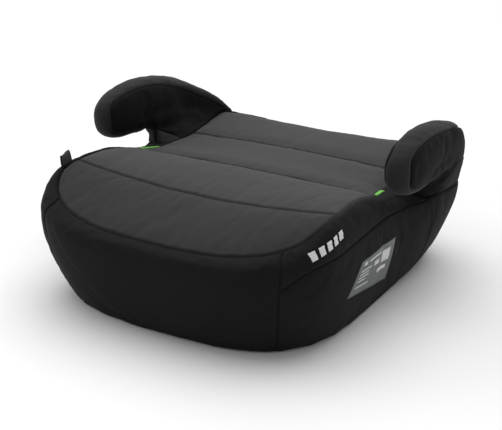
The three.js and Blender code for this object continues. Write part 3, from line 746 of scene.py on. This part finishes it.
def knit(name, tone, heather=0.18, sheen=0.25, specular=0.25):
    """Fine matte stretch knit: rows of small loops, a soft heather and a soft sheen."""
    made, tree, shader = material(name)
    place = node(tree, "TexCoord").outputs["Object"]
    loops = node(tree, "TexVoronoi", {"Vector": place, "Scale": 900.0, "Randomness": 0.55})
    rows = node(tree, "TexWave", {"Vector": place, "Scale": 240.0, "Distortion": 2.0, "Detail": 2.0,
                                  "Detail Scale": 2.0}, bands_direction="DIAGONAL")
    slub = node(tree, "TexNoise", {"Vector": place, "Scale": 420.0, "Detail": 3.0, "Roughness": 0.65})
    cloud = node(tree, "TexNoise", {"Vector": place, "Scale": 9.0, "Detail": 3.0, "Roughness": 0.5})
    mottle = maths(tree, "ADD", maths(tree, "MULTIPLY", slub.outputs["Fac"], heather * 2),
                   maths(tree, "MULTIPLY", cloud.outputs["Fac"], 0.22))
    amount = maths(tree, "ADD", mottle, 1 - heather - 0.11)
    loop_shade = maths(tree, "SUBTRACT", 1.12, maths(tree, "MULTIPLY", loops.outputs["Distance"], 0.35))
    level = maths(tree, "MULTIPLY", amount, loop_shade)
    colour = node(tree, "VectorMath", {0: shade(tone)[:3]}, operation="SCALE")
    tree.links.new(level, colour.inputs["Scale"])
    tree.links.new(colour.outputs[0], shader.inputs["Base Color"])
    rough = maths(tree, "ADD", maths(tree, "MULTIPLY", slub.outputs["Fac"], 0.12), 0.8)
    tree.links.new(rough, shader.inputs["Roughness"])
    shader.inputs["Specular IOR Level"].default_value = specular
    shader.inputs["Sheen Weight"].default_value = sheen
    shader.inputs["Sheen Roughness"].default_value = 0.45
    shader.inputs["Sheen Tint"].default_value = (0.8, 0.8, 0.85, 1)
    height = maths(tree, "SUBTRACT", maths(tree, "MULTIPLY", rows.outputs["Fac"], 0.35),
                   maths(tree, "MULTIPLY", loops.outputs["Distance"], 0.8))
    bump = node(tree, "Bump", {"Height": height, "Strength": 0.35, "Distance": 0.0004})
    crease = node(tree, "TexNoise", {"Vector": place, "Scale": 60.0, "Detail": 4.0, "Roughness": 0.55})
    wide = node(tree, "Bump", {"Height": crease.outputs["Fac"], "Strength": 0.2, "Distance": 0.002,
                               "Normal": bump.outputs[0]})
    tree.links.new(wide.outputs[0], shader.inputs["Normal"])
    return made


def plastic(name, tone, roughness=0.45, grain=0.25, specular=0.5):
    """Moulded plastic with a fine spark-eroded grain and a tone that varies a little at random."""
    made, tree, shader = material(name)
    place = node(tree, "TexCoord").outputs["Object"]
    fine = node(tree, "TexNoise", {"Vector": place, "Scale": 900.0, "Detail": 2.0})
    broad = node(tree, "TexNoise", {"Vector": place, "Scale": 14.0, "Detail": 4.0})
    level = maths(tree, "ADD", maths(tree, "MULTIPLY", broad.outputs["Fac"], 0.3), 0.85)
    colour = node(tree, "VectorMath", {0: shade(tone)[:3]}, operation="SCALE")
    tree.links.new(level, colour.inputs["Scale"])
    tree.links.new(colour.outputs[0], shader.inputs["Base Color"])
    rough = maths(tree, "ADD", maths(tree, "MULTIPLY", broad.outputs["Fac"], 0.2), roughness - 0.1)
    tree.links.new(rough, shader.inputs["Roughness"])
    shader.inputs["Specular IOR Level"].default_value = specular
    bump = node(tree, "Bump", {"Height": fine.outputs["Fac"], "Strength": grain, "Distance": 0.0003})
    tree.links.new(bump.outputs[0], shader.inputs["Normal"])
    return made


def metal(name, tone):
    made, tree, shader = material(name)
    place = node(tree, "TexCoord").outputs["Object"]
    scratch = node(tree, "TexNoise", {"Vector": place, "Scale": 300.0, "Detail": 3.0})
    rough = maths(tree, "ADD", maths(tree, "MULTIPLY", scratch.outputs["Fac"], 0.25), 0.2)
    tree.links.new(rough, shader.inputs["Roughness"])
    shader.inputs["Base Color"].default_value = shade(tone)
    shader.inputs["Metallic"].default_value = 1.0
    bump = node(tree, "Bump", {"Height": scratch.outputs["Fac"], "Strength": 0.1, "Distance": 0.0002})
    tree.links.new(bump.outputs[0], shader.inputs["Normal"])
    return made


# One knit in several copies, each toned to how bright its place is. The seat tone is the knit's own. The
# front lip's darker tone is painted shade for the forward-sloping lip. The boxing, armrest gusset and armrest
# face tones are a darker side fabric, darkened further as painted shade for surfaces that face sideways, away
# from the overhead light.
KNIT = {
    "seat": knit("seat_knit", (57, 57, 58), sheen=0.13),
    "lip": knit("lip_knit_painted_shade", (41, 41, 42), sheen=0.1),
    "boxing": knit("boxing_knit_dark_and_painted_shade", (17, 17, 18), sheen=0.025, specular=0.15),
    "gusset": knit("gusset_knit_dark_and_painted_shade", (33, 33, 34), sheen=0.1),
    "face": knit("armrest_face_knit", (16, 16, 17), sheen=0.025, specular=0.13),
}
BLACK_PLASTIC = plastic("moulded_black", (26, 26, 27))
RUBBER = plastic("black_rubber", (22, 22, 22), roughness=0.75, grain=0.5, specular=0.3)
GREEN = plastic("guide_green", (110, 196, 62), roughness=0.4, grain=0.1)
TAB = plastic("tab_ribbon", (34, 34, 36), roughness=0.65, grain=0.4)
LABEL = plastic("label_film", (78, 84, 82), roughness=0.35, grain=0.05)
PRINT = plastic("print_grey", (205, 205, 205), roughness=0.5, grain=0.05)
SCREW = metal("screw_steel", (150, 150, 152))


def fabric_for(name):
    if name.startswith("armrest"):
        return KNIT["gusset" if "gusset" in name else "face"]
    if name == "front_lip":
        return KNIT["lip"]
    return KNIT["seat" if "band" in name else "boxing"]


# ---------------------------------------------------------------- filling the covers by simulation
SWELL_FRAMES, SWELL_CAP = 14, 2.2
ARM_SWELL_Z, ARM_SWELL_CAP = 150.0, 1.4


def swell(skin):
    """Lets the wadding push the cloth out between its seams, which stay where they are sewn."""
    mesh = skin.data
    points = points_of(mesh)
    names = panel_names(points)
    edges = np.empty(len(mesh.edges) * 2, int)
    mesh.edges.foreach_get("vertices", edges)
    a, b = edges.reshape(-1, 2).T
    sewn = np.zeros(len(points), bool)
    differ = names[a] != names[b]
    sewn[a[differ]] = sewn[b[differ]] = True
    sewn |= points[:, 2] < 14
    group = skin.vertex_groups.new(name="sewn")
    group.add([int(i) for i in np.flatnonzero(sewn)], 1.0, "REPLACE")
    cloth = skin.modifiers.new("cloth", "CLOTH")
    cloth.settings.quality = 4
    cloth.settings.mass = 0.2
    cloth.settings.tension_stiffness = cloth.settings.compression_stiffness = 12
    cloth.settings.shear_stiffness = 6
    cloth.settings.bending_stiffness = 0.6
    cloth.settings.vertex_group_mass = "sewn"
    cloth.settings.use_pressure = True
    cloth.settings.uniform_pressure_force = 4
    cloth.settings.shrink_min = -0.007
    cloth.settings.effector_weights.gravity = 0
    cloth.collision_settings.use_collision = False
    cloth.collision_settings.use_self_collision = False
    cloth.point_cache.frame_start, cloth.point_cache.frame_end = 1, SWELL_FRAMES
    scene = bpy.context.scene
    for step in range(1, SWELL_FRAMES + 1):
        scene.frame_set(step)
    settled(skin)
    scene.frame_set(1)
    moved = points_of(skin.data) - points
    far = np.maximum(np.linalg.norm(moved, axis=1), 1e-9)
    print("swell: moved %.2f mm on average, %.2f at most" % (far.mean(), far.max()))
    cap = np.where(points[:, 2] > ARM_SWELL_Z, ARM_SWELL_CAP, SWELL_CAP)
    put_points(skin.data, points + moved * (cap * np.tanh(far / cap) / far)[:, None])
    skin.vertex_groups.clear()


# ---------------------------------------------------------------- making the covers
def panel_object(name, bm, names):
    """One panel as a closed piece of wadded cloth."""
    bm.faces.ensure_lookup_table()
    chosen = [bm.faces[i] for i in np.flatnonzero(names == name)]
    index = {}
    points, faces = [], []
    for face in chosen:
        corners = []
        for v in face.verts:
            if v.index not in index:
                index[v.index] = len(points)
                points.append(v.co / MM)
            corners.append(index[v.index])
        faces.append(corners)
    piece = new_object("cover_cloth_" + name, points, faces)
    thick = piece.modifiers.new("wadding", "SOLIDIFY")
    thick.thickness = CLOTH * MM
    thick.offset = -1
    thick.use_rim = True
    settled(piece)
    for polygon in piece.data.polygons:
        polygon.use_smooth = True
    piece.data.materials.clear()
    piece.data.materials.append(fabric_for(name))
    return piece


def make_covers():
    skin = whole_skin()
    swell(skin)
    subdivide = skin.modifiers.new("finer", "SUBSURF")
    subdivide.levels = subdivide.render_levels = 1
    settled(skin)
    bm = bmesh.new()
    bm.from_mesh(skin.data)
    floor = [*bm.verts, *bm.edges, *bm.faces]
    bmesh.ops.bisect_plane(bm, geom=floor, plane_co=(0, 0, HEM_Z * MM), plane_no=(0, 0, 1), clear_inner=True)
    cut_seams(bm)
    bm.normal_update()
    bm.verts.index_update()
    bm.faces.index_update()
    refine_near_seams(bm, face_panels(bm))
    names = face_panels(bm)
    tree, depths = seam_tree(bm, names)
    mesh = bpy.data.meshes.new("sewn")
    bm.to_mesh(mesh)
    sew(mesh, tree, depths)
    hem_wave(mesh)
    bm.free()
    bm = bmesh.new()
    bm.from_mesh(mesh)
    bm.verts.index_update()
    surface = BVHTree.FromBMesh(bm)
    pieces = {}
    for name in sorted(set(names)):
        pieces[name] = panel_object(name, bm, names)
    bm.free()
    bpy.data.objects.remove(skin)
    return pieces, surface


# ---------------------------------------------------------------- flat things laid on the cloth
def laid(place, inward):
    """Where a line through place meets the sewn cover from outside, and the way the cloth faces there."""
    inward = Vector(inward).normalized()
    hit = COVER_TREE.ray_cast((Vector(place) - inward * 40) * MM, inward, 90 * MM)
    return hit[0] / MM, hit[1]


def evened(grid, rounds):
    """Takes the bumps out of a grid of points, but leaves its edges."""
    grid = grid.copy()
    for _ in range(rounds):
        inner = (grid[:-2, 1:-1] + grid[2:, 1:-1] + grid[1:-1, :-2] + grid[1:-1, 2:]) / 4
        grid[1:-1, 1:-1] = lerp(grid[1:-1, 1:-1], inner, 0.5)
    return grid


def patch(name, grid, thickness, finish, corner=0.0):
    """A thin closed sheet through a grid of points, with softened edges."""
    rows, columns = grid.shape[:2]
    faces = [(r * columns + c, r * columns + c + 1, (r + 1) * columns + c + 1, (r + 1) * columns + c)
             for r in range(rows - 1) for c in range(columns - 1)]
    piece = new_object(name, grid.reshape(-1, 3), faces)
    thick = piece.modifiers.new("thick", "SOLIDIFY")
    thick.thickness, thick.offset = thickness * MM, 0
    if corner:
        edge = piece.modifiers.new("edge", "BEVEL")
        edge.width, edge.segments, edge.limit_method = corner * MM, 3, "ANGLE"
    settled(piece)
    for polygon in piece.data.polygons:
        polygon.use_smooth = True
    piece.data.materials.clear()
    piece.data.materials.append(finish)
    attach(piece, "root")
    return piece


GUIDE_FRONT, GUIDE_BACK, GUIDE_HALF, GUIDE_THICK = 9.0, 40.0, 2.4, 1.6
GUIDE_BESIDE = 5.0          # the cloth this far either side of a guide carries it
GUIDE_SUNK = 0.2
GUIDE_SHIFT = -1.5          # towards the seat, into the seam


def make_guide(word, sign):
    """A belt guide strip lying in the seam along the top edge."""
    rows = []
    for y in np.linspace(GUIDE_FRONT, GUIDE_BACK, 24):
        x = float(LEVELS["top"]["half"](y)) + GUIDE_SHIFT
        row = []
        near, _ = laid((sign * (x - GUIDE_BESIDE), y, 125), (0, 0, -1))
        far, _ = laid((sign * (x + GUIDE_BESIDE), y, 125), (0, 0, -1))
        for across in np.linspace(-GUIDE_HALF, GUIDE_HALF, 7):
            spot = near.lerp(far, (across + GUIDE_BESIDE) / (2 * GUIDE_BESIDE))
            row.append(spot - Vector((0, 0, GUIDE_SUNK)))
        rows.append(row)
    piece = patch("belt_guide_strip_" + word, evened(np.array(rows), 4), GUIDE_THICK, GREEN, 0.5)
    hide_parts("belt_guide_" + word)
    return piece


# Corners of the care label on the right flank as (y, z): top rear, top front, bottom front, bottom rear.
LABEL_CORNERS = ((-2, 86), (-81, 85.5), (-108, 53), (-8, 37))


def on_label(u, v):
    """The (y, z) place at u along and v down the label, each from 0 to 1."""
    top = lerp(np.array(LABEL_CORNERS[1], float), np.array(LABEL_CORNERS[0], float), u)
    low = lerp(np.array(LABEL_CORNERS[2], float), np.array(LABEL_CORNERS[3], float), u)
    return lerp(top, low, v)


def flank_grid(place_at, u_range, v_range, steps, lift):
    grid = np.empty((steps[0], steps[1], 3))
    for i, u in enumerate(np.linspace(*u_range, steps[0])):
        for j, v in enumerate(np.linspace(*v_range, steps[1])):
            y, z = place_at(u, v)
            spot, normal = laid((190, y, z), (-1, 0, -0.15))
            grid[i, j] = spot + normal * lift
    return grid


# The label's printed bars: where each starts and ends along the label, then down it, from 0 to 1.
LABEL_BARS = [(0.12, 0.2, 0.10, 0.20), (0.26, 0.62, 0.12, 0.17), (0.10, 0.38, 0.32, 0.36),
              (0.10, 0.34, 0.42, 0.45), (0.10, 0.36, 0.51, 0.54), (0.10, 0.30, 0.60, 0.63),
              (0.46, 0.60, 0.28, 0.40), (0.70, 0.90, 0.16, 0.46), (0.62, 0.86, 0.56, 0.66),
              (0.10, 0.42, 0.76, 0.79)]


def make_label():
    sheet = evened(flank_grid(on_label, (0, 1), (0, 1), (30, 18), 0.5), 3)
    film = patch("care_label_film", sheet, 0.5, LABEL)
    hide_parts("care_label")
    for i, (u0, u1, v0, v1) in enumerate(LABEL_BARS):
        grid = flank_grid(on_label, (u0, u1), (v0, v1), (10, 4), 0.95)
        bar = patch("label_bar_%02d" % i, grid, 0.2, PRINT)


MARK_BLOCKS, MARK_SPACE = 5, 0.36
MARK_Y = (-165, -120)       # front and rear end of the printed row
MARK_TOP_Z, MARK_LOW_Z = (125.5, 136), (116.5, 127)


def on_mark(u, v):
    """The (y, z) place on the upper right flank: u runs back along the top edge, v runs down."""
    return lerp(*MARK_Y, u), lerp(lerp(*MARK_TOP_Z, u), lerp(*MARK_LOW_Z, u), v)


def make_mark():
    """A plain printed row of equal blocks on the upper right flank."""
    for i in range(MARK_BLOCKS):
        start = i / (MARK_BLOCKS - MARK_SPACE)
        span = (start, start + (1 - MARK_SPACE) / (MARK_BLOCKS - MARK_SPACE))
        bar = patch("flank_bar_%d" % i, flank_grid(on_mark, span, (0, 1), (8, 8), 0.35), 0.3, PRINT)


TAB_AT = (-171.5, -121.0)
TAB_HALF, TAB_HEIGHT, TAB_LEAN = 8.0, 13.0, 4.0


def make_tab():
    """A folded ribbon loop sewn into the left top edge near the front."""
    spot, _ = laid((TAB_AT[0], TAB_AT[1], 140), (0, 0, -1))
    foot, height = spot.z - 2, TAB_HEIGHT + 2
    turn = np.linspace(-math.pi / 2, math.pi / 2, 9)
    profile = [(-1.1, 0.0), (-1.7, 0.35 * height), (-1.4, 0.8 * height)]
    profile += [(1.2 * math.sin(t), 0.88 * height + 1.6 * math.cos(t)) for t in turn]
    profile += [(1.4, 0.8 * height), (1.7, 0.35 * height), (1.1, 0.0)]
    rows = []
    for across in np.linspace(-TAB_HALF, TAB_HALF, 11):
        lean = TAB_LEAN + 1.2 * math.sin(across / 3)
        grow = 1 + 0.012 * across
        rows.append([(spot.x + out - lean * (up / height) ** 1.5,
                      spot.y + across + 0.15 * up,
                      foot + up * grow) for out, up in profile])
    tab = patch("loop_tab_ribbon", np.array(rows), 0.7, TAB)
    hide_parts("loop_tab")


COVERS, COVER_TREE = make_covers()
for panel, piece in COVERS.items():
    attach(piece, "root")
    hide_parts(*REPLACED[panel])
for word, sign in SIDES.items():
    make_guide(word, sign)
make_label()
make_mark()
make_tab()


# ---------------------------------------------------------------- CAD pieces that stay, with finer materials
def refinish(prefix, finish):
    for name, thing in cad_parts.items():
        if name.startswith(prefix):
            for slot in thing.material_slots:
                slot.material = finish


refinish("base_tray", BLACK_PLASTIC)
refinish("armrest_frame", BLACK_PLASTIC)
refinish("rubber_foot", RUBBER)
refinish("frame_screw", SCREW)
# the hem band takes the boxing knit: a darker side fabric, darkened further as painted shade
refinish("hem_band", KNIT["boxing"])

# ---------------------------------------------------------------- studio
CAMERA_TURN, CAMERA_RISE = math.radians(30.7), math.radians(21.9)
CAMERA_FAR, CAMERA_LENS, SENSOR = 1.325, 79.6, 36.0
TARGET = Vector((0.005, 0.0, 0.073))


def studio():
    camera = bpy.data.objects.new("camera", bpy.data.cameras.new("camera"))
    bpy.context.scene.collection.objects.link(camera)
    level = math.cos(CAMERA_RISE)
    away = Vector((math.sin(CAMERA_TURN) * level, -math.cos(CAMERA_TURN) * level, math.sin(CAMERA_RISE)))
    camera.location = TARGET + CAMERA_FAR * away
    camera.rotation_euler = (-away).to_track_quat("-Z", "Y").to_euler()
    camera.data.lens, camera.data.sensor_width = CAMERA_LENS, SENSOR
    camera.data.dof.use_dof = False
    camera.data.clip_start = 0.05
    bpy.context.scene.camera = camera

    mesh = bpy.data.meshes.new("floor")
    mesh.from_pydata([(-6, -6, 0), (6, -6, 0), (6, 6, 0), (-6, 6, 0)], [], [(0, 1, 2, 3)])
    floor = bpy.data.objects.new("floor", mesh)
    bpy.context.scene.collection.objects.link(floor)
    paper, tree, shader = material("paper")
    fibre = node(tree, "TexNoise", {"Scale": 3.0, "Detail": 4.0})
    level = maths(tree, "ADD", maths(tree, "MULTIPLY", fibre.outputs["Fac"], 0.01), 0.85)
    tone = node(tree, "CombineColor", {"Red": level, "Green": level, "Blue": level})
    tree.links.new(tone.outputs[0], shader.inputs["Base Color"])
    shader.inputs["Roughness"].default_value = 0.9
    mesh.materials.append(paper)

    world = bpy.data.worlds.new("studio")
    world.use_nodes = True
    background = world.node_tree.nodes["Background"]
    background.inputs["Color"].default_value = (1, 1, 1, 1)
    background.inputs["Strength"].default_value = 0.5
    bpy.context.scene.world = world
    bpy.context.scene.view_settings.view_transform = "Standard"

    def softbox(name, place, aim, size, power):
        lamp = bpy.data.lights.new(name, "AREA")
        lamp.shape, lamp.size, lamp.energy = "SQUARE", size, power
        holder = bpy.data.objects.new(name, lamp)
        bpy.context.scene.collection.objects.link(holder)
        holder.location = place
        holder.rotation_euler = (Vector(place) - Vector(aim)).to_track_quat("Z", "Y").to_euler()

    sky = bpy.data.lights.new("overhead", "SUN")
    sky.energy, sky.angle = 2.2, math.radians(70)
    holder = bpy.data.objects.new("overhead", sky)
    bpy.context.scene.collection.objects.link(holder)
    holder.rotation_euler = Vector((-0.15, 0.35, 1)).to_track_quat("Z", "Y").to_euler()
    softbox("left_box", (-1.6, -0.5, 0.9), (0, 0, 0.1), 0.9, 6)


studio()
